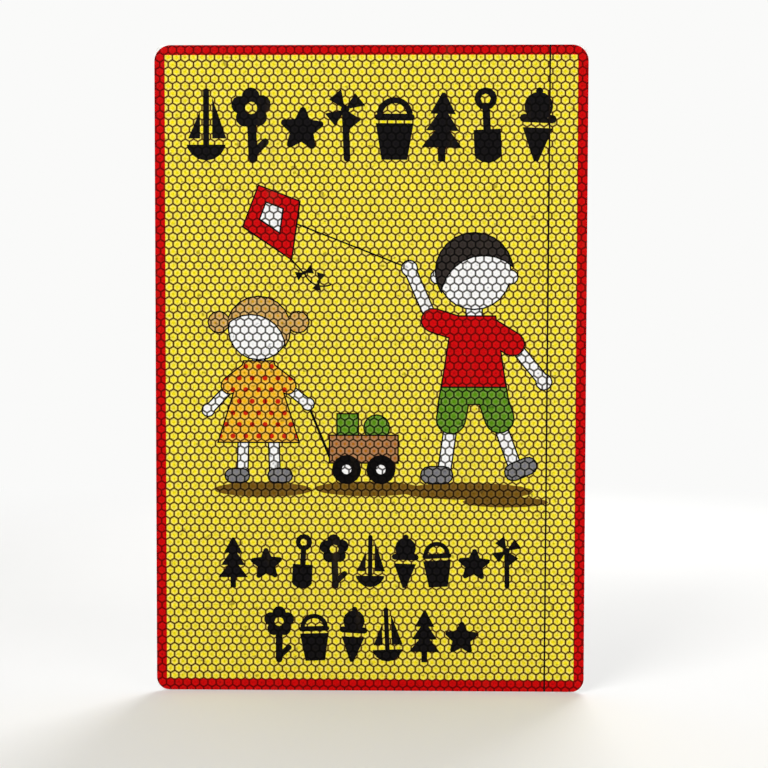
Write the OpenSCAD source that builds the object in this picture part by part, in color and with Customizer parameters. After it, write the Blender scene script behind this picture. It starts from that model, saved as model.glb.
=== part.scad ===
// Children at play road sign: a flat aluminium plate with reflective film over its whole
// face and coloured print on the film. The back of the plate lies in the plane y = 0 with
// the origin at its centre, the face looks along -Y, and +Z is up.

/* [Plate] */
// Width of the plate
plate_w = 400; // [390:5:500]
// Height of the plate
plate_h = 600; // [590:5:800]
// Thickness of the aluminium
plate_t = 2; // [1.5:0.25:4]
// Corner radius of the plate
corner_r = 10; // [6:0.5:11]

/* [Film] */
// Thickness of the reflective film
film_t = 0.4; // [0.3:0.05:0.8]
// Distance from the right edge of the plate to the seam in the film
seam_inset = 36; // [33:0.5:40]
// Lean of the seam from upright, in degrees
seam_lean = 0.15; // [0:0.05:0.3]
// Width of the seam
seam_w = 1.6; // [0.8:0.1:2]
// Depth of the seam below the face of the film
seam_depth = 0.1; // [0.05:0.01:0.2]

/* [Border and field] */
// Thickness of the print
print_t = 0.05; // [0.03:0.01:0.1]
// Radius of the print at the two upper corners
upper_print_r = 15; // [12:0.5:18]
// Radius of the print at the two lower corners
lower_print_r = 12; // [11.5:0.5:18]
// Width of the red border at the sides
border_side = 9.5; // [6:0.5:11]
// Width of the red border at the top
border_top = 9.2; // [6:0.1:11]
// Width of the red border at the bottom
border_bottom = 10.7; // [6:0.1:11]

/* [Rows of marks] */
// Height of the marks in the top row
top_mark_h = 70; // [40:1:74]
// Spacing of the marks in the top row
top_pitch = 43.5; // [42:0.5:45]
// Height of the marks in the middle row
middle_mark_h = 52; // [30:1:54]
// Spacing of the marks in the middle row
middle_pitch = 32; // [31.5:0.5:38]
// Height of the marks in the bottom row
bottom_mark_h = 54; // [30:1:56]
// Spacing of the marks in the bottom row
bottom_pitch = 34; // [33.5:0.5:50]
// Distance from the top edge of the plate to the foot of the top row
top_row_drop = 108; // [106:1:112]
// Distance from the bottom edge of the plate to the foot of the middle row
middle_row_rise = 96; // [92:1:100]
// Distance from the bottom edge of the plate to the foot of the bottom row
bottom_row_rise = 26; // [22:1:30]

/* [Picture] */
// Width of the black outlines
outline_w = 1.4; // [0.8:0.1:1.8]
// Distance from the bottom edge of the plate to the ground under the children
ground_rise = 195; // [190:1:200]
// Clearance between the picture and the top row of marks
top_row_gap = 11; // [8:1:30]
// Clearance between the picture and the border at each side
side_gap = 8; // [4:1:30]
// Place of the older child, right of the middle
older_x = 96; // [92:1:106]
// Place of the younger child, left of the middle
younger_x = 104; // [98:1:112]
// Diameter of the older child's head
older_head_d = 68; // [60:1:72]
// Diameter of the younger child's head
younger_head_d = 56; // [50:1:58]
// Width of the kite's line
kite_line_w = 1.5; // [0.8:0.1:2]
// Width of the wagon's handle
handle_w = 2.4; // [1:0.1:3]
// Diameter of the wagon's wheels
wheel_d = 26; // [20:1:28]
// Diameter of the dots on the dress
dress_dot_d = 5; // [3:0.2:6]
// Spacing of the dots on the dress
dress_dot_pitch = 12; // [9:0.5:15]
// Width of the kite across its arms
kite_w = 58; // [44:1:62]

/* [Hidden] */

$fn = 64;

aluminium = "silver";
bare_film = "whitesmoke";
red = "crimson";
yellow = "gold";
black = "black";
green = "olivedrab";
orange = "orange";
tan_brown = "burlywood";
wood_brown = "rosybrown";
grey = "dimgray";
olive = "darkolivegreen";

half_line = outline_w / 2;
face_y = -plate_t;
print_y = face_y - film_t;

field_left = -plate_w / 2 + border_side;
field_right = plate_w / 2 - border_side;
field_top = plate_h / 2 - border_top;
field_bottom = -plate_h / 2 + border_bottom;

seam_x = plate_w / 2 - seam_inset;
ground = -plate_h / 2 + ground_rise;

// The picture and its sizes above are drawn in a box of this size that stands on the ground.
// It is then scaled evenly to fit the room between the ground, the top row and the border.
picture_w = 350;
picture_h = 286;
picture_scale = min(
    (plate_h / 2 - top_row_drop - top_row_gap - ground) / picture_h,
    (field_right - field_left - 2 * side_gap) / picture_w);

older_head_r = older_head_d / 2;
younger_head_r = younger_head_d / 2;
wheel_r = wheel_d / 2;
kite_arm = kite_w / 2;

// The layers of the picture from back to front: each hides what comes before it.
LAYERS = ["shadow", "cords", "skin", "shoes", "trousers", "shirt", "dress", "heads",
    "dark_hair", "fair_hair", "load", "wagon", "wheels", "hubs", "kite", "kite_middle"];

// Where the hands that hold something are, measured from the child's own place.
older_hand = [-60, 200];
younger_hand = [46, 74];
kite_at = [-92, 250];
kite_tilt = 24;
wagon_x = -6;
wagon_l = 64;

// The marks in each row, from left to right.
TOP_ROW = ["boat", "flower", "star", "pinwheel", "bucket", "tree", "spade", "cone"];
MIDDLE_ROW = ["tree", "star", "spade", "flower", "boat", "cone", "bucket", "star",
    "pinwheel"];
BOTTOM_ROW = ["flower", "bucket", "cone", "boat", "tree", "star"];

function last(list) = len(list) - 1;

// Puts a flat drawing on the sign: its y becomes up, and it stands forward from y = back.
module sheet(back, thick) {
    translate([0, back, 0])
        rotate([90, 0, 0])
            linear_extrude(thick)
                children();
}

// A rectangle about the origin with its own corner radius at the top and at the bottom.
module round_rectangle(w, h, upper_r, lower_r) {
    for (side = [-1, 1]) {
        translate([side * (w / 2 - upper_r), h / 2 - upper_r])
            circle(upper_r);
        translate([side * (w / 2 - lower_r), -h / 2 + lower_r])
            circle(lower_r);
    }
    translate([-w / 2, -h / 2 + lower_r])
        square([w, h - upper_r - lower_r]);
    translate([-w / 2 + upper_r, 0])
        square([w - 2 * upper_r, h / 2]);
    translate([-w / 2 + lower_r, -h / 2])
        square([w - 2 * lower_r, h / 2]);
}

module plate_outline() {
    round_rectangle(plate_w, plate_h, corner_r, corner_r);
}

module print_outline() {
    round_rectangle(plate_w, plate_h, upper_print_r, lower_print_r);
}

module field_outline() {
    translate([field_left, field_bottom])
        square([field_right - field_left, field_top - field_bottom]);
}

module seam_outline() {
    translate([seam_x, 0])
        rotate(-seam_lean)
            square([seam_w, 2 * plate_h], center = true);
}

// Points along a part of a circle, in even steps from one angle to the other.
function arc_points(at, r, from, to, steps) =
    [for (k = [0 : steps])
        at + r * [cos(from + (to - from) * k / steps), sin(from + (to - from) * k / steps)]];

// Steps in a quarter turn of a round edge: more on one that comes out larger on the sign.
$drawn_scale = 1;
function quarter_steps(r) = max(2, ceil(0.9 * sqrt(r * $drawn_scale)));

// Flat shapes that each grow by g all round, so that an outline can follow them.
module dot(at, r, g = 0) {
    steps = 4 * quarter_steps(r);
    polygon(arc_points(at, r + g, 0, 360 - 360 / steps, steps - 1));
}

module limb(from, to, w, g = 0) {
    way = to - from;
    turn = atan2(way.y, way.x);
    steps = 2 * quarter_steps(w / 2);
    polygon(concat(
        arc_points(to, w / 2 + g, turn - 90, turn + 90, steps),
        arc_points(from, w / 2 + g, turn + 90, turn + 270, steps)));
}

module block(from, to, g = 0) {
    translate(from - [g, g])
        square(to - from + [2 * g, 2 * g]);
}

// An upright form whose half width changes evenly from low_half at low to high_half at high.
module taper(low, high, low_half, high_half, g = 0) {
    slope = (high_half - low_half) / (high - low);
    side = g * sqrt(1 + slope * slope);
    foot = low_half - slope * g + side;
    head = high_half + slope * g + side;
    polygon([[-foot, low - g], [foot, low - g], [head, high + g], [-head, high + g]]);
}

// An ellipse about a point, wider than it is tall.
module pool(at, half_w, half_h) {
    translate(at)
        polygon([for (a = [0 : 18 : 342]) [half_w * cos(a), half_h * sin(a)]]);
}

// A curved line of width w about a point, from angle a to angle b, with round ends.
module arc_line(at, r, a, b, w) {
    steps = 4 * quarter_steps(r);
    cap = 2 * quarter_steps(w / 2);
    polygon(concat(
        arc_points(at, r + w / 2, a, b, steps),
        arc_points(at + r * [cos(b), sin(b)], w / 2, b, b + 180, cap),
        arc_points(at, r - w / 2, b, a, steps),
        arc_points(at + r * [cos(a), sin(a)], w / 2, a + 180, a + 360, cap)));
}

// The older child, who flies a kite: shirt, shorts, short dark hair.
module older_skin(g) {
    limb([0, 148], [0, 166], 15, g);
    limb([-38, 150], older_hand, 11, g);
    dot(older_hand, 7.5, g);
    limb([38, 128], [63, 98], 11, g);
    dot([65, 95], 7.5, g);
    limb([-20, 62], [-27, 12], 12, g);
    limb([22, 62], [38, 18], 12, g);
}

module older_shoes(g) {
    limb([-41, 8], [-27, 8], 16, g);
    limb([37, 11], [51, 17], 16, g);
}

module older_trousers(g) {
    taper(74, 98, 33, 29, g);
    limb([-17, 82], [-21, 60], 27, g);
    limb([17, 82], [24, 61], 27, g);
}

module older_shirt(g) {
    taper(90, 156, 30, 20, g);
    limb([-13, 144], [-38, 152], 22, g);
    limb([13, 144], [36, 130], 22, g);
}

module older_head(g) {
    dot([0, 196], older_head_r, g);
    for (side = [-1, 1])
        dot([side * older_head_r, 192], 6.5, g);
}

module older_hair(g) {
    r = older_head_r + 2;
    difference() {
        dot([0, 197], r, g);
        dot([9, 172], r + 4, -g);
    }
}

// The younger child, who draws a wagon: dress, fair hair in two bunches.
module younger_skin(g) {
    limb([0, 108], [0, 120], 11, g);
    limb([-26, 90], [-45, 70], 9, g);
    dot([-47, 68], 6, g);
    limb([26, 90], younger_hand, 9, g);
    dot(younger_hand, 6, g);
    limb([-14, 46], [-15, 12], 10, g);
    limb([14, 46], [15, 12], 10, g);
}

module younger_shoes(g) {
    limb([-25, 7], [-15, 7], 13, g);
    limb([15, 7], [25, 7], 13, g);
}

module younger_dress(g) {
    taper(38, 114, 38, 14, g);
    limb([-10, 104], [-27, 91], 16, g);
    limb([10, 104], [27, 91], 16, g);
}

module younger_head(g) {
    dot([0, 143], younger_head_r, g);
}

module younger_hair(g) {
    r = younger_head_r + 2;
    difference() {
        dot([0, 144], r, g);
        dot([-7, 125], r + 2, -g);
    }
    for (side = [-1, 1])
        dot([side * (r + 7), 150], 10, g);
}

module dress_dots() {
    for (row = [0 : 6], column = [-4 : 4])
        dot(
            [dress_dot_pitch * (column + (row % 2) / 2), 44 + 0.9 * dress_dot_pitch * row],
            dress_dot_d / 2);
}

// The toys.
module wagon_box(g) {
    low = wheel_r + 6;
    block([-wagon_l / 2, low], [wagon_l / 2, low + 26], g);
}

module wagon_wheels(r, g) {
    for (side = [-1, 1])
        dot([side * wagon_l / 4, wheel_r], r, g);
}

module wagon_load(g) {
    low = wheel_r + 30;
    block([-25, low], [-5, low + 22], g);
    dot([12, low + 9], 12, g);
}

module kite_sail(arm, g) {
    side = arm + g * sqrt(2);
    polygon([[0, side], [side, 0], [0, -1.6 * arm - 1.9 * g], [-side, 0]]);
}

module kite_tail() {
    limb([0, -1.6 * kite_arm], [6, -2 * kite_arm - 6], kite_line_w);
    arc_line([24, -2 * kite_arm - 6], 18, 180, 270, kite_line_w);
    for (k = [0, 1])
        translate([6 + 9 * k, -2 * kite_arm - 4 - 13 * k])
            rotate(50 * k) {
                dot([0, 0], 2);
                for (side = [-1, 1])
                    polygon([[0, 0], [8 * side, 4.5], [8 * side, -4.5]]);
            }
}

// Sets something drawn about its own middle, standing on y = 0, in its place in the picture.
module in_picture(at, tilt = 0) {
    translate([0, ground])
        scale(picture_scale)
            translate(at)
                rotate(tilt)
                    children();
}

module at_older() {
    in_picture([older_x, 0])
        children();
}

module at_younger() {
    in_picture([-younger_x, 0])
        children();
}

module at_wagon() {
    in_picture([wagon_x, 0])
        children();
}

module at_kite() {
    in_picture(kite_at, kite_tilt)
        children();
}

// The kite's line and the wagon's handle, each from the toy to the hand that holds it.
module cords() {
    in_picture([0, 0]) {
        limb(kite_at, [older_x, 0] + older_hand, kite_line_w);
        limb([wagon_x - wagon_l / 2, wheel_r + 12], [-younger_x, 0] + younger_hand, handle_w);
    }
    at_kite()
        kite_tail();
}

module shadows() {
    in_picture([0, 0]) {
        pool([4 - younger_x, -6], 46, 7);
        pool([wagon_x + 4, -5], 50, 7);
        pool([older_x - 6, -7], 62, 8);
        pool([older_x + 30, -17], 40, 5);
    }
}

// One layer of the picture, grown by a length all round.
module layer(name, grown = 0) {
    g = grown / picture_scale;
    if (name == "shadow")
        shadows();
    if (name == "cords")
        cords();
    if (name == "skin") {
        at_older()
            older_skin(g);
        at_younger()
            younger_skin(g);
    }
    if (name == "shoes") {
        at_older()
            older_shoes(g);
        at_younger()
            younger_shoes(g);
    }
    if (name == "trousers")
        at_older()
            older_trousers(g);
    if (name == "shirt")
        at_older()
            older_shirt(g);
    if (name == "dress")
        at_younger()
            younger_dress(g);
    if (name == "heads") {
        at_older()
            older_head(g);
        at_younger()
            younger_head(g);
    }
    if (name == "dark_hair")
        at_older()
            older_hair(g);
    if (name == "fair_hair")
        at_younger()
            younger_hair(g);
    if (name == "load")
        at_wagon()
            wagon_load(g);
    if (name == "wagon")
        at_wagon()
            wagon_box(g);
    if (name == "wheels")
        at_wagon()
            wagon_wheels(wheel_r, g);
    if (name == "hubs")
        at_wagon()
            wagon_wheels(0.4 * wheel_r, g);
    if (name == "kite")
        at_kite()
            kite_sail(kite_arm, g);
    if (name == "kite_middle")
        at_kite()
            kite_sail(kite_arm / 2.4, g);
}

function layer_number(name) = search([name], LAYERS)[0];
function has_outline(name) = name != "shadow" && name != "cords";

// All that lies in front of a layer.
module in_front_of(name, g) {
    for (k = [layer_number(name) + 1 : 1 : last(LAYERS)])
        layer(LAYERS[k], g);
}

// What is seen of a layer, inside its own outline.
module visible(name) {
    difference() {
        layer(name, has_outline(name) ? -half_line : 0);
        in_front_of(name, half_line);
    }
}

module outlines() {
    for (name = LAYERS)
        if (has_outline(name))
            difference() {
                layer(name, half_line);
                layer(name, -half_line);
                in_front_of(name, -half_line);
            }
}

// The marks are drawn 100 high and 54 wide, standing on y = 0.
module flower() {
    limb([0, 6], [0, 50], 12);
    limb([3, 14], [17, 27], 10);
    difference() {
        for (a = [0 : 72 : 288])
            translate([0, 72])
                rotate(a)
                    dot([0, 15], 12);
        dot([0, 72], 8);
    }
}

module boat() {
    intersection() {
        dot([0, 30], 27);
        block([-30, 0], [30, 24]);
    }
    limb([0, 20], [0, 94], 8);
    polygon([[8, 32], [27, 32], [8, 86]]);
    polygon([[-8, 32], [-24, 32], [-8, 68]]);
}

module star() {
    tip_r = 4.5;
    translate([0, 44])
        polygon([for (a = [90 : 72 : 378]) each concat(
            arc_points(25 * [cos(a), sin(a)], tip_r, a - 52, a + 52, 3),
            [16.5 * [cos(a + 36), sin(a + 36)]])]);
}

module pinwheel() {
    limb([0, 6], [0, 66], 9);
    for (a = [0 : 90 : 270])
        translate([0, 70])
            rotate(a)
                polygon([[0, 0], [27, 4], [14, 21]]);
    dot([0, 70], 6);
}

module bucket() {
    taper(4, 52, 17, 25);
    limb([-22, 60], [22, 60], 9);
    arc_line([0, 62], 20, 8, 172, 8);
}

module tree() {
    block([-5, 2], [5, 24]);
    for (k = [0 : 2])
        translate([0, 20 + 22 * k])
            taper(0, 32 - 2 * k, 27 - 5 * k, 2);
}

module spade() {
    limb([0, 40], [0, 74], 10);
    difference() {
        dot([0, 84], 15);
        dot([0, 84], 6.5);
    }
    block([-18, 16], [18, 44]);
    intersection() {
        dot([0, 22], 22);
        block([-18, -4], [18, 18]);
    }
}

module cone() {
    taper(2, 46, 3, 20);
    limb([-19, 58], [19, 58], 11);
    dot([0, 74], 19);
    dot([0, 94], 5);
}

module mark(name) {
    if (name == "flower")
        flower();
    if (name == "boat")
        boat();
    if (name == "star")
        star();
    if (name == "pinwheel")
        pinwheel();
    if (name == "bucket")
        bucket();
    if (name == "tree")
        tree();
    if (name == "spade")
        spade();
    if (name == "cone")
        cone();
}

// A row of marks about the middle, each a little turned, as if set by hand.
module mark_row(names, foot, h, pitch) {
    $drawn_scale = h / 100;
    for (k = [0 : last(names)])
        translate([(k - last(names) / 2) * pitch, foot])
            rotate(3 * sin(137 * k))
                scale(h / 100)
                    mark(names[k]);
}

module marks() {
    mark_row(TOP_ROW, plate_h / 2 - top_row_drop, top_mark_h, top_pitch);
    mark_row(MIDDLE_ROW, -plate_h / 2 + middle_row_rise, middle_mark_h, middle_pitch);
    mark_row(BOTTOM_ROW, -plate_h / 2 + bottom_row_rise, bottom_mark_h, bottom_pitch);
}

// A field of print, left open along the seam. Print of the second pass lies on the first.
module print_field(colour, pass = 1) {
    color(colour)
        sheet(print_y - (pass - 1) * print_t, print_t)
            difference() {
                children();
                seam_outline();
            }
}

module plate() {
    color(aluminium)
        sheet(0, plate_t)
            plate_outline();
}

module reflective_film() {
    color(bare_film)
        difference() {
            sheet(face_y, film_t)
                plate_outline();
            sheet(print_y + seam_depth, 2 * seam_depth)
                seam_outline();
        }
}

module red_border() {
    print_field(red)
        difference() {
            intersection() {
                print_outline();
                plate_outline();
            }
            field_outline();
        }
}

module yellow_field() {
    print_field(yellow)
        difference() {
            field_outline();
            for (name = LAYERS)
                layer(name, half_line);
        }
}

module black_marks() {
    print_field(black, pass = 2)
        marks();
}

module black_outlines() {
    print_field(black) {
        outlines();
        visible("cords");
        visible("wheels");
    }
}

module black_hair() {
    print_field(black)
        visible("dark_hair");
}

module red_print() {
    print_field(red) {
        visible("shirt");
        visible("kite");
    }
}

module green_print() {
    print_field(green) {
        visible("trousers");
        visible("load");
    }
}

module orange_print() {
    print_field(orange)
        visible("dress");
}

module dot_print() {
    print_field(red, pass = 2)
        intersection() {
            visible("dress");
            at_younger()
                dress_dots();
        }
}

module tan_print() {
    print_field(tan_brown)
        visible("fair_hair");
}

module brown_print() {
    print_field(wood_brown)
        visible("wagon");
}

module grey_print() {
    print_field(grey)
        visible("shoes");
}

module shadow_print() {
    print_field(olive)
        visible("shadow");
}

plate();
reflective_film();
red_border();
yellow_field();
black_marks();
black_outlines();
black_hair();
red_print();
green_print();
orange_print();
dot_print();
tan_print();
brown_print();
grey_print();
shadow_print();
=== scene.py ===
"""Looks of the children at play sign: an aluminium plate with honeycomb reflective film and print.

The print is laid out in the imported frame. Here its fields get the cells of the film that show
through it: each field of print becomes a closed skin whose front follows the honeycomb.
"""

import math

import bpy
import numpy as np
from mathutils import Matrix, Vector
from mathutils.bvhtree import BVHTree
from mathutils.geometry import delaunay_2d_cdt


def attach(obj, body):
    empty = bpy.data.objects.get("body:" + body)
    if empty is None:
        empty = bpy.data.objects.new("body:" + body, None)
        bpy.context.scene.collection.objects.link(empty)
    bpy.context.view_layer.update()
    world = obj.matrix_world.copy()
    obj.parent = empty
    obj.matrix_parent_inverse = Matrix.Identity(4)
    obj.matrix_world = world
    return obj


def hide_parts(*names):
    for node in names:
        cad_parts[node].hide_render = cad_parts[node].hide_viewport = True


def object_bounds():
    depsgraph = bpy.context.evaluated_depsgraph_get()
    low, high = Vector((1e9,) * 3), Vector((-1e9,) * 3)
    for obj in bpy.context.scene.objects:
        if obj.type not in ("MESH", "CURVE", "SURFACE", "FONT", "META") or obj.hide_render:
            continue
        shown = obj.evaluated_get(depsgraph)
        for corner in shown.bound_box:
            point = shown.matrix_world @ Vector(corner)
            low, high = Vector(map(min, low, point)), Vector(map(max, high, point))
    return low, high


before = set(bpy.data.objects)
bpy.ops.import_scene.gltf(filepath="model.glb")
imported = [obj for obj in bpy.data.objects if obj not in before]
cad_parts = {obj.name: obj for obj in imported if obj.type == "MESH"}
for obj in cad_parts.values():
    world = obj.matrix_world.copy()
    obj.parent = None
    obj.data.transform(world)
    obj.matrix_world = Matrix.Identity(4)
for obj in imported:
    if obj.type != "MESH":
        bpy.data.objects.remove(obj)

CAD_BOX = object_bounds()

# Lengths of the honeycomb, in millimetres. The rows are set a little closer than in a true hexagon.
CELL_PITCH = 7.79
ROW_PITCH = 6.61
FIRST_CELL = (-0.23, -2.01)
WALL_WIDTH = 1.0
SHOULDER_WIDTH = 0.6

# Where the wall's colour starts in a cell, as a share of the way out, and where it starts and is
# full in the cell's corners, as shares of half a cell.
WALL_BLUR_START = 0.64
ROUND_CORNER = (0.82, 0.97)

# Height of a skin's front above what it lies on: over a wall, at a cell's shoulder, at its middle.
PRINT_RELIEF = (0.012, 0.085, 0.13)
BARE_RELIEF = (0.006, 0.06, 0.1)
CORNER_RELIEF = (0.02, 0.02, 0.02)
SEAM_RELIEF = (0.07, 0.07, 0.07)

# How far in from the sign's sides the film at its corners is bare and shows no cells.
CORNER_REACH = 12

# A faint mark of the embossing roll comes back in every fifth cell of some rows, but not always.
ROLL_MARK_COLUMNS = 5
ROLL_MARK_ROWS = 4
ROLL_MARKS_MISSED = 0.25

# Fine prisms of the film to the metre.
PRISMS = 2400

# A millimetre in metres. In millimetres, how close two points are to count as one, and a depth
# well in front of the sign, from which its face is looked at.
MM = 0.001
WELD = 0.002
IN_FRONT = -100.0
SHARP_EDGE = math.radians(40)

# Numbers that give each cell, from its row and column, a tone without order.
SEED = 11
SCATTER = (12.9898, 78.233, 43758.5453)

# Fields of print: the colours of their cells and of the walls between them, from 0 to 255.
PRINT_COLOURS = {
    "red_border": ((212, 2, 4), (112, 0, 0)),
    "yellow_field": ((255, 236, 42), (66, 20, 0)),
    "black_marks": ((20, 18, 20), (1, 1, 1)),
    "black_outlines": ((12, 10, 10), (1, 1, 1)),
    "black_hair": ((52, 46, 44), (3, 2, 2)),
    "red_print": ((214, 4, 8), (104, 0, 0)),
    "green_print": ((88, 148, 12), (4, 16, 0)),
    "orange_print": ((255, 194, 16), (70, 30, 0)),
    "dot_print": ((212, 36, 2), (92, 10, 0)),
    "tan_print": ((216, 172, 100), (48, 26, 8)),
    "brown_print": ((182, 126, 82), (34, 16, 4)),
    "grey_print": ((126, 126, 132), (20, 20, 22)),
    "shadow_print": ((120, 86, 16), (28, 16, 0)),
}
BLACK_PRINT = ("black_marks", "black_outlines", "black_hair")
FILM_COLOURS = ((252, 251, 250), (64, 60, 58))
CLOUDED_FILM = (236, 234, 230)
SEAM_COLOURS = ((20, 10, 3), (8, 5, 2))
MILL_COLOURS = ((186, 188, 191), (200, 201, 204))
DULL_ALUMINIUM = (158, 160, 163)
FLOOR_COLOURS = ((238, 237, 235), (243, 242, 240))

# Road dust, as it looks on each finish.
DUST = {
    "cells": (116, 98, 70),
    "walls": (96, 78, 50),
    "film": (176, 166, 146),
    "aluminium": (120, 112, 98),
    "seam": (70, 52, 30),
}

# Tints that change a colour: from cell to cell, in a cell's pale ring, which is a painted highlight, and
# in patches of the walls.
CELL_TINT = (0.62, 0.6, 0.5, 1)
HIGHLIGHT_TINT = (1.0, 0.84, 0.44, 1)
WALL_PATCH = (0.3, 0.25, 0.2, 1)

# How strongly each surface mirrors what is round it, and how its acrylic bends light.
PRINT_SHINE = 0.06
BLACK_SHINE = 0.03
WALL_SHINE = 0.04
SEAM_SHINE = 0.06
CELL_FILM_SHINE = 0.2
PLAIN_FILM_SHINE = 0.15
ACRYLIC_IOR = 1.49

# The plain backdrop, and where the floor starts to fade into it and has done so. From here on
# lengths are in metres.
BACKDROP = (250, 250, 249)
FADE_REACH = (0.6, 1.7)

# The floor is this far under the sign, so that the two never touch.
FLOOR_GAP = 0.001

# Lamps: where each is, what it looks at, the side of its square and its power in watts.
LAMPS = {
    "key": ((-1.5, -1.7, 1.5), (0, 0, 0.05), 1.4, 30),
    "fill": ((1.8, -1.6, 0.7), (0, 0, 0), 1.6, 14),
    "back": ((0.8, 1.9, 1.4), (0, 0, 0), 1.6, 40),
}
ROOM_LIGHT = (0.93, 0.94, 0.95, 1)
ROOM_STRENGTH = 0.55

# The photograph's own view: where the camera is, which way it looks and which way its right side is.
CAMERA_AT = (0.026, -0.993, 0.019)
CAMERA_AHEAD = (-0.0134, 0.9994, -0.0315)
CAMERA_RIGHT = (0.9999, 0.0135, 0.0023)
LENS = 50
SENSOR_WIDTH = 36


def linear(colour):
    """A colour of 0 to 255 as the shader's linear RGBA."""
    out = []
    for value in colour:
        c = value / 255
        out.append(c / 12.92 if c <= 0.04045 else ((c + 0.055) / 1.055) ** 2.4)
    return (*out, 1.0)


# The honeycomb


HALF_CELL = CELL_PITCH / 2

# Where the wall and the shoulder start, as shares of the way from a cell's centre to its wall's middle.
WALL_EDGE = 1 - WALL_WIDTH / CELL_PITCH
SHOULDER_EDGE = WALL_EDGE - 2 * SHOULDER_WIDTH / CELL_PITCH


def cell_corners():
    """Corners of a cell about its own centre, wall middle to wall middle."""
    low = (ROW_PITCH**2 - HALF_CELL**2) / (2 * ROW_PITCH)
    high = (ROW_PITCH**2 + HALF_CELL**2) / (2 * ROW_PITCH)
    sides = [(-HALF_CELL, low), (-HALF_CELL, -low), (0, -high), (HALF_CELL, -low), (HALF_CELL, low)]
    return [(0, high), *sides]


def cell_centre(row, column):
    """Where a cell's centre is. Every second row is set half a cell across."""
    return FIRST_CELL[0] + (row % 2) * HALF_CELL + column * CELL_PITCH, FIRST_CELL[1] + row * ROW_PITCH


def cell_of(x, z):
    """Row, column and share of the way out from the cell's centre to its wall, for arrays of points."""
    best = None
    base = np.floor((z - FIRST_CELL[1]) / ROW_PITCH)
    for row in (base, base + 1):
        column = np.round((x - cell_centre(row, 0)[0]) / CELL_PITCH)
        centre_x, centre_z = cell_centre(row, column)
        dx, dz = np.abs(x - centre_x), np.abs(z - centre_z)
        slant = (dx * HALF_CELL + dz * ROW_PITCH) / ((HALF_CELL**2 + ROW_PITCH**2) / 2)
        out = np.maximum(dx / HALF_CELL, slant)
        if best is None:
            best = [row, column, out]
        else:
            nearer = out < best[2]
            best = [np.where(nearer, new, old) for new, old in zip((row, column, out), best)]
    return best


def relief(way_out, heights):
    """Height of a skin's front, from the share of the way out in a cell."""
    wall, shoulder, middle = heights
    return np.interp(way_out, (0, SHOULDER_EDGE, WALL_EDGE, 1), (middle, shoulder, wall, wall))


def honeycomb_lines(half_w, half_h):
    """Points and edges of every cell: its spokes, its shoulder and its wall's edge."""
    points, edges = [], []
    corners = cell_corners()
    sides = len(corners)
    rows = math.ceil(half_h / ROW_PITCH) + 1
    columns = math.ceil(half_w / CELL_PITCH) + 1
    for row in range(-rows, rows + 1):
        for column in range(-columns, columns + 1):
            x, z = cell_centre(row, column)
            if abs(x) > half_w + HALF_CELL or abs(z) > half_h + ROW_PITCH / 2:
                continue
            middle = len(points)
            points.append((x, z))
            for share in (SHOULDER_EDGE, WALL_EDGE):
                points += [(x + share * cx, z + share * cz) for cx, cz in corners]
            for k in range(1, sides + 1):
                inner, outer = middle + k, middle + sides + k
                step = 1 if k < sides else 1 - sides
                edges += [(middle, inner), (inner, outer), (inner, inner + step), (outer, outer + step)]
    return points, edges


# The fields of print, read from the frame


def key_of(a, b):
    """The same key for an edge whichever way round it is named."""
    return (min(a, b), max(a, b))


def node_mesh(name):
    """Vertices (in millimetres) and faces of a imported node."""
    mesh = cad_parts[name].data
    co = np.empty(len(mesh.vertices) * 3)
    mesh.vertices.foreach_get("co", co)
    return co.reshape(-1, 3) / MM, [tuple(p.vertices) for p in mesh.polygons]


def front_outline(name):
    """Edges round a node's front face, as pairs of (x, z) points."""
    co, faces = node_mesh(name)
    front = co[:, 1].min()
    spots = [tuple(v) for v in np.round(co[:, ::2] / WELD).astype(int)]
    uses = {}
    for face in faces:
        if max(co[v][1] for v in face) - front > WELD:
            continue
        ring = [spots[v] for v in face]
        for a, b in zip(ring, ring[1:] + ring[:1]):
            key = key_of(a, b)
            uses[key] = uses.get(key, 0) + 1
    return [tuple((x * WELD, z * WELD) for x, z in key) for key, n in uses.items() if n == 1]


class Layout:
    """The sign's face cut into triangles along the cells and along the edges of the print."""

    def __init__(self, outlines, half_w, half_h):
        points, edges = [], []
        for outline in outlines:
            for a, b in outline:
                edges.append((len(points), len(points) + 1))
                points += [a, b]
        print_edges = len(edges)
        cell_points, cell_edges = honeycomb_lines(half_w, half_h)
        first = len(points)
        edges += [(a + first, b + first) for a, b in cell_edges]
        points += cell_points
        given = [Vector(p) for p in points]
        cut_points, cut_edges, faces, _, sources, _ = delaunay_2d_cdt(given, edges, [], 0, WELD, True)
        self.points = np.array([tuple(v) for v in cut_points])
        self.triangles = np.array([tuple(f) for f in faces])

        # Only the edges of the print part one field from another.
        of_print = [any(k < print_edges for k in came_from) for came_from in sources]
        cuts = {key_of(*edge) for edge, is_cut in zip(cut_edges, of_print) if is_cut}
        self.middles = self.points[self.triangles].mean(axis=1)
        self.row, self.column, self.way_out = cell_of(*self.middles.T)
        self.regions = regions_of(self.triangles, cuts)

    def areas(self):
        """Twice the area of each triangle, which ranks them as well."""
        a, b, c = (self.points[self.triangles[:, k]] for k in range(3))
        (ux, uz), (vx, vz) = (b - a).T, (c - a).T
        return np.abs(ux * vz - uz * vx)


def edge_owners(triangles):
    """The triangles on each edge."""
    owners = {}
    for k, (a, b, c) in enumerate(triangles.tolist()):
        for edge in ((a, b), (b, c), (c, a)):
            owners.setdefault(key_of(*edge), []).append(k)
    return owners


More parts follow.
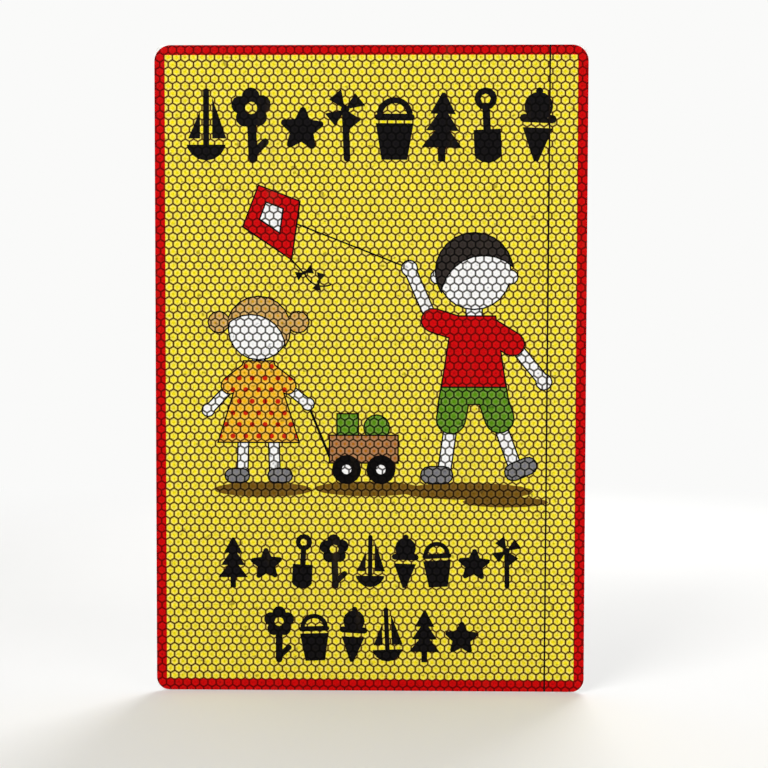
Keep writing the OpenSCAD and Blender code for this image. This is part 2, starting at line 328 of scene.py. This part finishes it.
def regions_of(triangles, cuts):
    """A region number for each triangle: a region ends only at a cut."""
    near = [[] for _ in range(len(triangles))]
    for edge, owners in edge_owners(triangles).items():
        if len(owners) == 2 and edge not in cuts:
            near[owners[0]].append(owners[1])
            near[owners[1]].append(owners[0])
    region = np.full(len(triangles), -1)
    number = 0
    for start in range(len(triangles)):
        if region[start] >= 0:
            continue
        region[start] = number
        queue = [start]
        while queue:
            for other in near[queue.pop()]:
                if region[other] < 0:
                    region[other] = number
                    queue.append(other)
        number += 1
    return region


def field_at(x, z, trees):
    """Which node's front is seen at a point, or what of the film is bare there."""
    start, nearest, seen = Vector((x, IN_FRONT, z)), math.inf, "outside"
    for name, tree in trees.items():
        hit = tree.ray_cast(start, Vector((0, 1, 0)))[0]
        if hit is not None and hit.y < nearest - WELD:
            nearest, seen = hit.y, name
    if seen == "reflective_film":
        return "bare" if nearest < FILM_FACE + WELD else "seam"
    return seen


def name_fields(layout):
    """The name of the field that each triangle is in."""
    trees = {}
    for name in [*PRINT_COLOURS, "reflective_film"]:
        co, faces = node_mesh(name)
        trees[name] = BVHTree.FromPolygons([Vector(v) for v in co], faces)
    largest = {}
    for k in np.argsort(-layout.areas()).tolist():
        largest.setdefault(int(layout.regions[k]), k)
    names = {r: field_at(*layout.middles[k], trees) for r, k in largest.items()}
    return np.array([names[int(r)] for r in layout.regions])


# Closed skins


def scattered(row, column):
    """A number from 0 to 1 for each cell, without order but the same in every run."""
    by_row, by_column, reach = SCATTER
    return np.modf(np.abs(np.sin(row * by_row + column * by_column + SEED)) * reach)[0]


def flat_fill(points, edges):
    """Triangles inside closed outlines, using no points but theirs."""
    used = sorted({p for edge in edges for p in edge})
    number = {p: k for k, p in enumerate(used)}
    given = [(number[a], number[b]) for a, b in edges]
    spots = [Vector(points[p]) for p in used]
    _, cut_edges, cut_faces, origins, sources, _ = delaunay_2d_cdt(spots, given, [], 0, WELD / 100, True)
    back = [used[came_from[0]] for came_from in origins]
    cuts = {key_of(*e) for e, came_from in zip(cut_edges, sources) if came_from}
    triangles = np.array([tuple(t) for t in cut_faces])
    owners = edge_owners(triangles)

    # From the rim inwards, a triangle is inside or outside as its neighbour is, until a cut parts them.
    inside = {}
    queue = []
    for edge, pair in owners.items():
        if len(pair) == 1 and pair[0] not in inside:
            inside[pair[0]] = edge in cuts
            queue.append(pair[0])
    while queue:
        k = queue.pop()
        a, b, c = triangles[k].tolist()
        for edge in (key_of(a, b), key_of(b, c), key_of(c, a)):
            for other in owners[edge]:
                if other not in inside:
                    inside[other] = inside[k] != (edge in cuts)
                    queue.append(other)
    return [[back[v] for v in t] for k, t in enumerate(triangles.tolist()) if inside[k]]


def closed_form(flat, local, fronts, rest_on):
    """Points and faces of a skin: its front, then its sides, then its back, which lies flat."""
    owners = edge_owners(local)
    rim = [edge for edge, pair in owners.items() if len(pair) == 1]
    rim_points = sorted({p for edge in rim for p in edge})
    below = {p: len(flat) + k for k, p in enumerate(rim_points)}
    front = np.column_stack((flat[:, 0], fronts, flat[:, 1]))
    back = np.insert(flat[rim_points], 1, rest_on, axis=1)
    faces = [tuple(t) for t in local.tolist()]
    for a, b, c in local.tolist():
        for p, q in ((a, b), (b, c), (c, a)):
            if len(owners[key_of(p, q)]) == 1:
                faces.append((q, p, below[p], below[q]))
    faces += [tuple(below[p] for p in reversed(t)) for t in flat_fill(flat, rim)]
    return np.vstack((front, back)), faces


def add_skin(name, layout, chosen, heights, materials, rest_on):
    """A closed skin with the honeycomb on its front, over the chosen triangles."""
    used, local = np.unique(layout.triangles[chosen], return_inverse=True)
    local = local.reshape(-1, 3)
    flat = layout.points[used]
    way_out = cell_of(*flat.T)[2]
    points, faces = closed_form(flat, local, rest_on - relief(way_out, heights), rest_on)

    mesh = bpy.data.meshes.new(name)
    mesh.from_pydata((points * MM).tolist(), [], faces)
    for material in materials:
        mesh.materials.append(material)
    last = len(materials) - 1
    slots = np.full(len(faces), last)
    slots[: len(local)] = np.where(layout.way_out[chosen] > WALL_EDGE, last, 0)
    mesh.polygons.foreach_set("material_index", slots)
    mesh.polygons.foreach_set("use_smooth", np.arange(len(faces)) < len(local))
    set_cell_values(mesh, layout, chosen, way_out)
    mesh.set_sharp_from_angle(angle=SHARP_EDGE)
    piece = bpy.data.objects.new(name, mesh)
    bpy.context.collection.objects.link(piece)
    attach(piece, "root")
    return piece


def set_cell_values(mesh, layout, chosen, way_out):
    """Values that the materials read: the way out from a cell's middle, its place, tone and mark."""
    ways = np.ones(len(mesh.vertices))
    ways[: len(way_out)] = way_out
    mesh.attributes.new("way_out", "FLOAT", "POINT").data.foreach_set("value", ways)

    row, column = layout.row[chosen], layout.column[chosen]
    tone = scattered(row, column)
    in_turn = (row % ROLL_MARK_ROWS == 0) & ((column + row // 2) % ROLL_MARK_COLUMNS == 0)
    marked = in_turn & (tone > ROLL_MARKS_MISSED)
    for label, values in (("cell_tone", tone), ("roll_mark", marked)):
        held = np.full(len(mesh.polygons), 0.5)
        held[: len(values)] = values
        mesh.attributes.new(label, "FLOAT", "FACE").data.foreach_set("value", held)

    middles = np.zeros((len(mesh.polygons), 3))
    middles[: len(row), ::2] = np.column_stack(cell_centre(row, column))
    held = mesh.attributes.new("cell_middle", "FLOAT_VECTOR", "FACE")
    held.data.foreach_set("vector", (middles * MM).ravel())


# Materials


def new_group(name, inputs, outputs):
    """A shader node group with named inputs and outputs, each (label, socket type, value)."""
    group = bpy.data.node_groups.new(name, "ShaderNodeTree")
    for label, kind, value in inputs:
        socket = group.interface.new_socket(label, in_out="INPUT", socket_type=kind)
        socket.default_value = value
    for label, kind in outputs:
        group.interface.new_socket(label, in_out="OUTPUT", socket_type=kind)
    return group, group.nodes.new("NodeGroupInput"), group.nodes.new("NodeGroupOutput")


def feed(tree, socket, value):
    """Joins a socket to another's output, or sets it to a value."""
    if isinstance(value, bpy.types.NodeSocket):
        tree.links.new(value, socket)
    else:
        socket.default_value = value


def add_node(tree, kind, inputs=None, **settings):
    """A node with its settings made and its inputs fed."""
    node = tree.nodes.new(kind)
    for label, value in settings.items():
        setattr(node, label, value)
    for label, value in (inputs or {}).items():
        feed(tree, node.inputs[label], value)
    return node


def attribute(tree, name, output="Fac"):
    """A value that set_cell_values has put on the mesh."""
    return add_node(tree, "ShaderNodeAttribute", attribute_name=name).outputs[output]


def spread(tree, value, old, new=(0, 1), smooth=True):
    """A value in one range turned into one in another, with soft ends unless it isn't smooth."""
    way = "SMOOTHSTEP" if smooth else "LINEAR"
    inputs = {"Value": value, "From Min": old[0], "From Max": old[1], "To Min": new[0], "To Max": new[1]}
    return add_node(tree, "ShaderNodeMapRange", inputs, interpolation_type=way).outputs["Result"]


def blend_colours(tree, share, first, second, way="MIX"):
    """The first colour with a share of the second. A Mix node's colours are its inputs 6 and 7."""
    inputs = {0: share, 6: first, 7: second}
    return add_node(tree, "ShaderNodeMix", inputs, data_type="RGBA", blend_type=way).outputs[2]


def maths(tree, way, first, second):
    """Two values joined by a sum, product or the like."""
    return add_node(tree, "ShaderNodeMath", {0: first, 1: second}, operation=way).outputs[0]


def vector_maths(tree, way, first, second):
    """Two vectors joined by a sum, product or the like."""
    inputs = {0: first, 1: second}
    return add_node(tree, "ShaderNodeVectorMath", inputs, operation=way).outputs["Vector"]


def length(tree, vector):
    """How long a vector is."""
    return add_node(tree, "ShaderNodeVectorMath", {0: vector}, operation="LENGTH").outputs["Value"]


def bump(tree, height, strength, reach, over=None):
    """The normal of a surface with small heights on it, over another normal if one is given."""
    inputs = {"Height": height, "Strength": strength, "Distance": reach}
    if over is not None:
        inputs["Normal"] = over
    return add_node(tree, "ShaderNodeBump", inputs).outputs["Normal"]


def place(tree):
    """Where a point is on the object."""
    return add_node(tree, "ShaderNodeTexCoord").outputs["Object"]


def noise(tree, where, scale, detail, roughness=0.5):
    """Cloudy noise, with the scale in waves to the metre."""
    inputs = {"Vector": where, "Scale": scale, "Detail": detail, "Roughness": roughness}
    return add_node(tree, "ShaderNodeTexNoise", inputs).outputs["Fac"]


def stretched(tree, where, scale, turn=0.0):
    """Places scaled, and turned in the sign's face, so that noise on them runs in one direction."""
    inputs = {"Vector": where, "Rotation": (0, turn, 0), "Scale": scale}
    return add_node(tree, "ShaderNodeMapping", inputs).outputs["Vector"]


def cell_group():
    """Colour of a cell: deep in the middle, a painted highlight in a pale, glinting ring round it,
    darker by the wall.
    """
    group, given, made = new_group(
        "Cell",
        [
            ("Colour", "NodeSocketColor", (0.8, 0.8, 0.8, 1)),
            ("Wall", "NodeSocketColor", (0.1, 0.1, 0.1, 1)),
            ("Pale ring", "NodeSocketFloat", 0.32),
            ("Cell spread", "NodeSocketFloat", 0.15),
            ("Wall blur", "NodeSocketFloat", 0.65),
            ("Round corners", "NodeSocketFloat", 0.8),
            ("Blotches", "NodeSocketFloat", 0.5),
            # How much painted shade each prism facet gets.
            ("Facets", "NodeSocketFloat", 0.6),
            ("Flecks", "NodeSocketFloat", 0.7),
        ],
        [("Colour", "NodeSocketColor")],
    )
    where = place(group)
    way_out = attribute(group, "way_out")
    colour, wall = given.outputs["Colour"], given.outputs["Wall"]

    # The cell's own tone, deeper towards its middle.
    own = maths(group, "MULTIPLY", attribute(group, "cell_tone"), given.outputs["Cell spread"])
    toned = blend_colours(group, own, colour, CELL_TINT, "MULTIPLY")
    deep = add_node(group, "ShaderNodeHueSaturation", {"Saturation": 1.3, "Value": 0.9, "Color": toned})
    centred = blend_colours(group, spread(group, way_out, (0.5, 0.15)), toned, deep.outputs["Color"])

    # A painted highlight: a pale, glinting ring round the middle, of which the dark inks show little.
    pale_ink = add_node(group, "ShaderNodeSeparateColor", {"Color": colour}).outputs["Green"]
    ring = maths(group, "MULTIPLY", spread(group, way_out, (0.3, 0.6)), pale_ink)
    glints = spread(group, noise(group, where, scale=640, detail=2), (0.45, 0.68), (0.5, 1.6))
    pale = maths(group, "MULTIPLY", maths(group, "MULTIPLY", ring, glints), given.outputs["Pale ring"])
    highlighted = blend_colours(group, pale, centred, HIGHLIGHT_TINT)

    # The roll's marks, and blotches of the wall's colour.
    near_middle = spread(group, way_out, (0.3, 0.02), (0, 0.6))
    mark = maths(group, "MULTIPLY", attribute(group, "roll_mark"), near_middle)
    marked = blend_colours(group, mark, highlighted, wall)
    stain = spread(group, noise(group, where, scale=190, detail=1), (0.67, 0.78))
    blotch = maths(group, "MULTIPLY", stain, given.outputs["Blotches"])
    stained = blend_colours(group, blotch, marked, wall)

    # The wall's colour, which runs a little way into the cell and rounds off its corners.
    from_middle = vector_maths(group, "SUBTRACT", where, attribute(group, "cell_middle", "Vector"))
    across = length(group, vector_maths(group, "MULTIPLY", from_middle, (1, 0, 1)))
    corner = spread(group, across, [share * HALF_CELL * MM for share in ROUND_CORNER])
    corners = maths(group, "MULTIPLY", corner, given.outputs["Round corners"])
    side = spread(group, way_out, (WALL_BLUR_START, WALL_EDGE))
    sides = maths(group, "MULTIPLY", side, given.outputs["Wall blur"])
    edge = maths(group, "MAXIMUM", sides, corners)
    walled = blend_colours(group, edge, stained, wall)

    # Painted shade that differs from facet to facet of the fine prisms, and flecks of shade.
    prisms = add_node(group, "ShaderNodeTexVoronoi", {"Vector": where, "Scale": PRISMS})
    facet_shade = spread(group, prisms.outputs["Color"], (0.3, 0.7), (0.84, 1.0))
    cut = blend_colours(group, given.outputs["Facets"], walled, facet_shade, "MULTIPLY")
    flecks = spread(group, noise(group, where, scale=900, detail=2), (0.36, 0.56), (0.72, 1.08))
    flecked = blend_colours(group, given.outputs["Flecks"], cut, flecks, "MULTIPLY")
    group.links.new(flecked, made.inputs["Colour"])
    return group


def prism_group():
    """The film's fine prisms and the slight waviness of its face, as a normal."""
    group, given, made = new_group(
        "Prisms",
        [("Depth", "NodeSocketFloat", 0.15), ("Waviness", "NodeSocketFloat", 0.2)],
        [("Normal", "NodeSocketVector")],
    )
    where = place(group)
    spots = {"Vector": where, "Scale": PRISMS}
    prisms = add_node(group, "ShaderNodeTexVoronoi", spots, distance="MANHATTAN").outputs["Distance"]
    fine = bump(group, prisms, given.outputs["Depth"], reach=0.0001)
    waves = noise(group, where, scale=90, detail=3)
    wavy = bump(group, waves, given.outputs["Waviness"], reach=0.0006, over=fine)
    group.links.new(wavy, made.inputs["Normal"])
    return group


def weather_group():
    """Where road dust lies: a thin veil, streaks down the face and small specks."""
    group, given, made = new_group(
        "Weather",
        [("Veil", "NodeSocketFloat", 0.3), ("Specks", "NodeSocketFloat", 0.5)],
        [("Dust", "NodeSocketFloat"), ("Rough", "NodeSocketFloat")],
    )
    where = place(group)
    downward = stretched(group, where, (1, 1, 0.12))
    streaks = spread(group, noise(group, downward, scale=60, detail=6, roughness=0.6), (0.52, 0.8))
    cloud = spread(group, noise(group, where, scale=9, detail=5, roughness=0.6), (0.4, 0.75))
    veil = maths(group, "MULTIPLY", maths(group, "MULTIPLY", streaks, cloud), given.outputs["Veil"])
    dots = add_node(group, "ShaderNodeTexVoronoi", {"Vector": where, "Scale": 110})
    near = spread(group, dots.outputs["Distance"], (0.09, 0.03))
    some = spread(group, noise(group, where, scale=37, detail=2), (0.6, 0.66))
    specks = maths(group, "MULTIPLY", maths(group, "MULTIPLY", near, some), given.outputs["Specks"])
    group.links.new(maths(group, "MAXIMUM", veil, specks), made.inputs["Dust"])
    group.links.new(cloud, made.inputs["Rough"])
    return group


def use(tree, group, inputs):
    """A group placed in a material with its own values."""
    return add_node(tree, "ShaderNodeGroup", inputs, node_tree=group).outputs


def new_material(name):
    """A material with its node tree and its Principled shader."""
    material = bpy.data.materials.new(name)
    material.use_nodes = True
    shader = material.node_tree.nodes["Principled BSDF"]
    return material, material.node_tree, shader


def named_sockets(inputs):
    """Keyword names as the labels of sockets."""
    return {label.replace("_", " "): value for label, value in inputs.items()}


def join(tree, shader, **inputs):
    """Feeds a shader's sockets."""
    for label, value in named_sockets(inputs).items():
        feed(tree, shader.inputs[label], value)


def cell_material(name, colour, wall, groups, shine, **finish):
    """Print or film over the cells: clear and smooth, with the light that the prisms send back painted
    as a pale highlight ring in each cell.
    """
    material, tree, shader = new_material(name)
    own = {"Colour": linear(colour), "Wall": linear(wall), **named_sockets(finish)}
    cell = use(tree, groups["cell"], own)
    weather = use(tree, groups["weather"], {"Veil": 0.3, "Specks": 0.5})
    dusty = blend_colours(tree, weather["Dust"], cell["Colour"], linear(DUST["cells"]))
    rough = spread(tree, weather["Rough"], (0, 1), (0.3, 0.42), smooth=False)
    prisms = use(tree, groups["prisms"], {"Depth": 0.25, "Waviness": 0.2})
    join(tree, shader, Base_Color=dusty, Roughness=rough, Normal=prisms["Normal"])
    join(tree, shader, Specular_IOR_Level=shine, IOR=ACRYLIC_IOR)
    return material


def wall_material(name, wall, groups):
    """Print or film over the walls between the cells: darker, duller, with a little dust."""
    material, tree, shader = new_material(name)
    patches = spread(tree, noise(tree, place(tree), scale=500, detail=3), (0.35, 0.7), (0, 0.5))
    patchy = blend_colours(tree, patches, linear(wall), WALL_PATCH, "MULTIPLY")
    weather = use(tree, groups["weather"], {"Veil": 0.4, "Specks": 0.3})
    dusty = blend_colours(tree, weather["Dust"], patchy, linear(DUST["walls"]))
    rough = spread(tree, weather["Rough"], (0, 1), (0.5, 0.65), smooth=False)
    prisms = use(tree, groups["prisms"], {"Depth": 0.1, "Waviness": 0.3})
    join(tree, shader, Base_Color=dusty, Roughness=rough, Normal=prisms["Normal"])
    join(tree, shader, Specular_IOR_Level=WALL_SHINE, IOR=ACRYLIC_IOR)
    return material


def film_material(groups):
    """The bare white sheet where it has no cells: smooth, with faint cloudiness and dust."""
    material, tree, shader = new_material("White film")
    cloud = spread(tree, noise(tree, place(tree), scale=120, detail=4), (0.35, 0.7))
    white = blend_colours(tree, cloud, linear(FILM_COLOURS[0]), linear(CLOUDED_FILM))
    weather = use(tree, groups["weather"], {"Veil": 0.3, "Specks": 0.3})
    dusty = blend_colours(tree, weather["Dust"], white, linear(DUST["film"]))
    rough = spread(tree, weather["Rough"], (0, 1), (0.34, 0.46), smooth=False)
    prisms = use(tree, groups["prisms"], {"Depth": 0.1, "Waviness": 0.2})
    join(tree, shader, Base_Color=dusty, Roughness=rough, Normal=prisms["Normal"])
    join(tree, shader, Specular_IOR_Level=PLAIN_FILM_SHINE, IOR=ACRYLIC_IOR)
    return material


def plate_material(groups):
    """Rolled aluminium sheet as it comes from the mill, with its grain, scratches and dull spots."""
    material, tree, shader = new_material("Rolled aluminium")
    where = place(tree)
    rolled = stretched(tree, where, (1, 1, 0.02))
    grain = noise(tree, rolled, scale=1500, detail=5, roughness=0.6)
    lines = spread(tree, noise(tree, rolled, scale=520, detail=3), (0.3, 0.7))
    cloud = noise(tree, where, scale=6, detail=5, roughness=0.6)
    slanted = stretched(tree, where, (1, 1, 0.03), turn=0.5)
    scratches = spread(tree, noise(tree, slanted, scale=260, detail=2), (0.72, 0.75))
    base = blend_colours(tree, lines, *map(linear, MILL_COLOURS))
    dull = spread(tree, cloud, (0.4, 0.8), (0, 0.35))
    dulled = blend_colours(tree, dull, base, linear(DULL_ALUMINIUM))
    weather = use(tree, groups["weather"], {"Veil": 0.25, "Specks": 0.35})
    dusty = blend_colours(tree, weather["Dust"], dulled, linear(DUST["aluminium"]))
    duller = spread(tree, cloud, (0.4, 0.7), (0, 0.1))
    rough = maths(tree, "ADD", spread(tree, grain, (0.3, 0.7), (0.32, 0.46)), duller)
    normal = bump(tree, maths(tree, "SUBTRACT", grain, scratches), strength=0.1, reach=0.0002)
    join(tree, shader, Base_Color=dusty, Metallic=1.0, Roughness=rough, Normal=normal)
    return material


def seam_material(groups):
    """The welded line in the film, where there are no cells and the sheet stays dark."""
    material, tree, shader = new_material("Film seam")
    patches = spread(tree, noise(tree, place(tree), scale=260, detail=4), (0.35, 0.7))
    colour = blend_colours(tree, patches, *map(linear, SEAM_COLOURS))
    weather = use(tree, groups["weather"], {"Veil": 0.3, "Specks": 0.1})
    dusty = blend_colours(tree, weather["Dust"], colour, linear(DUST["seam"]))
    prisms = use(tree, groups["prisms"], {"Depth": 0.1, "Waviness": 0.4})
    join(tree, shader, Base_Color=dusty, Roughness=0.5, Normal=prisms["Normal"])
    join(tree, shader, Specular_IOR_Level=SEAM_SHINE)
    return material


# Floor, light and camera


def add_floor():
    """A plain pale studio floor that curves up into the wall far behind the sign."""
    low = CAD_BOX[0][2] - FLOOR_GAP
    bend, half_w, front, back, top = 1.8, 30.0, -30.0, 6.0, 14.0
    steps = 24
    profile = [(front, low)]
    for k in range(steps + 1):
        turn = math.pi / 2 * k / steps
        profile.append((back - bend + bend * math.sin(turn), low + bend - bend * math.cos(turn)))
    profile.append((back, top))
    points = [(side * half_w, y, z) for y, z in profile for side in (-1, 1)]
    faces = [(2 * k, 2 * k + 1, 2 * k + 3, 2 * k + 2) for k in range(len(profile) - 1)]
    mesh = bpy.data.meshes.new("floor")
    mesh.from_pydata(points, [], faces)
    mesh.polygons.foreach_set("use_smooth", [True] * len(faces))
    floor = bpy.data.objects.new("floor", mesh)
    bpy.context.collection.objects.link(floor)
    mesh.materials.append(floor_material())


def seen_directly(tree):
    """1 where a ray from the camera, or one by way of a shiny surface, meets the stage."""
    path = add_node(tree, "ShaderNodeLightPath").outputs
    return maths(tree, "MAXIMUM", path["Is Camera Ray"], path["Is Glossy Ray"])


def mix_shaders(tree, share, first, second, output):
    """Shows the first shader with a share of the second."""
    inputs = {0: share, 1: first.outputs[0], 2: second.outputs[0]}
    mix = add_node(tree, "ShaderNodeMixShader", inputs)
    tree.links.new(mix.outputs["Shader"], tree.nodes[output].inputs["Surface"])


def floor_material():
    """Pale floor that fades, away from the sign and its shadow, into the plain backdrop."""
    material, tree, shader = new_material("Pale floor")
    where = place(tree)
    colour = blend_colours(tree, noise(tree, where, scale=3, detail=3), *map(linear, FLOOR_COLOURS))
    join(tree, shader, Base_Color=colour, Roughness=0.9)
    far = spread(tree, length(tree, where), FADE_REACH)
    share = maths(tree, "MULTIPLY", far, seen_directly(tree))
    glow = add_node(tree, "ShaderNodeEmission", {"Color": linear(BACKDROP), "Strength": 1.0})
    mix_shaders(tree, share, shader, glow, "Material Output")
    return material


def add_lights():
    """Soft lamps from above on the left, by the camera on the right and behind the sign."""
    for name, (at, aim, side, power) in LAMPS.items():
        lamp = bpy.data.lights.new(name, "AREA")
        lamp.size = side
        lamp.energy = power
        light = bpy.data.objects.new(name, lamp)
        light.location = at
        light.rotation_euler = (Vector(aim) - Vector(at)).to_track_quat("-Z", "Y").to_euler()
        bpy.context.collection.objects.link(light)


def add_room():
    """Even light from all round, in front of a plain backdrop."""
    world = bpy.data.worlds.new("studio")
    world.use_nodes = True
    tree = world.node_tree
    lit = tree.nodes["Background"]
    join(tree, lit, Color=ROOM_LIGHT, Strength=ROOM_STRENGTH)
    seen = add_node(tree, "ShaderNodeBackground", {"Color": linear(BACKDROP), "Strength": 1.0})
    mix_shaders(tree, seen_directly(tree), lit, seen, "World Output")
    bpy.context.scene.world = world


def add_camera():
    """The photograph's own view, from just under a metre away."""
    camera = bpy.data.cameras.new("camera")
    camera.lens = LENS
    camera.sensor_width = SENSOR_WIDTH
    ahead = Vector(CAMERA_AHEAD).normalized()
    right = Vector(CAMERA_RIGHT)
    right = (right - right.dot(ahead) * ahead).normalized()
    up = right.cross(ahead)
    view = bpy.data.objects.new("camera", camera)
    turn = [[right[k], up[k], -ahead[k]] for k in range(3)]
    view.matrix_world = Matrix.Translation(CAMERA_AT) @ Matrix(turn).to_4x4()
    bpy.context.collection.objects.link(view)
    bpy.context.scene.camera = view


# The sign


def dress_print(layout, names, groups):
    """Puts the honeycomb on each field of print, by a skin that replaces it."""
    for name, (colour, wall) in PRINT_COLOURS.items():
        shine = BLACK_SHINE if name in BLACK_PRINT else PRINT_SHINE
        materials = [
            cell_material(name + "_cells", colour, wall, groups, shine),
            wall_material(name + "_walls", wall, groups),
        ]
        skin = add_skin(name + "_skin", layout, names == name, PRINT_RELIEF, materials, FILM_FACE)
        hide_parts(name)


def dress_film(layout, names, groups, plain_film):
    """Puts cells on the film where it is bare, a plain sheet on its corners and a floor in its seam."""
    # The bare white film's cells get no painted highlight ring and only a little of the painted prism
    # shade.
    white = {"Pale_ring": 0.0, "Cell_spread": 0.05, "Facets": 0.3, "Flecks": 0.3}
    bare_film = [
        cell_material("bare_film_cells", *FILM_COLOURS, groups, CELL_FILM_SHINE, **white),
        wall_material("bare_film_walls", FILM_COLOURS[1], groups),
    ]
    seam = [seam_material(groups)]
    is_corner = np.abs(layout.middles[:, 0]) > HALF_WIDTH - CORNER_REACH
    is_bare = names == "bare"
    pieces = [
        add_skin("bare_cells", layout, is_bare & ~is_corner, BARE_RELIEF, bare_film, FILM_FACE),
        add_skin("bare_corners", layout, is_bare & is_corner, CORNER_RELIEF, [plain_film], FILM_FACE),
        add_skin("seam_line", layout, names == "seam", SEAM_RELIEF, seam, SEAM_FLOOR),
    ]


# In millimetres, half the sign's width and height, the film's face and, next behind it, the floor
# of its seam.
HALF_WIDTH, HALF_HEIGHT = (CAD_BOX[1][k] / MM for k in (0, 2))
film_depths = node_mesh("reflective_film")[0][:, 1]
FILM_FACE = float(film_depths.min())
SEAM_FLOOR = float(np.unique(film_depths.round(3))[1])

groups = {"cell": cell_group(), "prisms": prism_group(), "weather": weather_group()}
add_camera()
add_floor()
add_lights()
add_room()

outlines = [front_outline(name) for name in [*PRINT_COLOURS, "reflective_film", "plate"]]
layout = Layout(outlines, HALF_WIDTH, HALF_HEIGHT)
names = name_fields(layout)
plain_film = film_material(groups)
dress_print(layout, names, groups)
dress_film(layout, names, groups, plain_film)
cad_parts["plate"].material_slots[0].material = plate_material(groups)
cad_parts["reflective_film"].material_slots[0].material = plain_film

bpy.context.scene.view_settings.view_transform = "Standard"
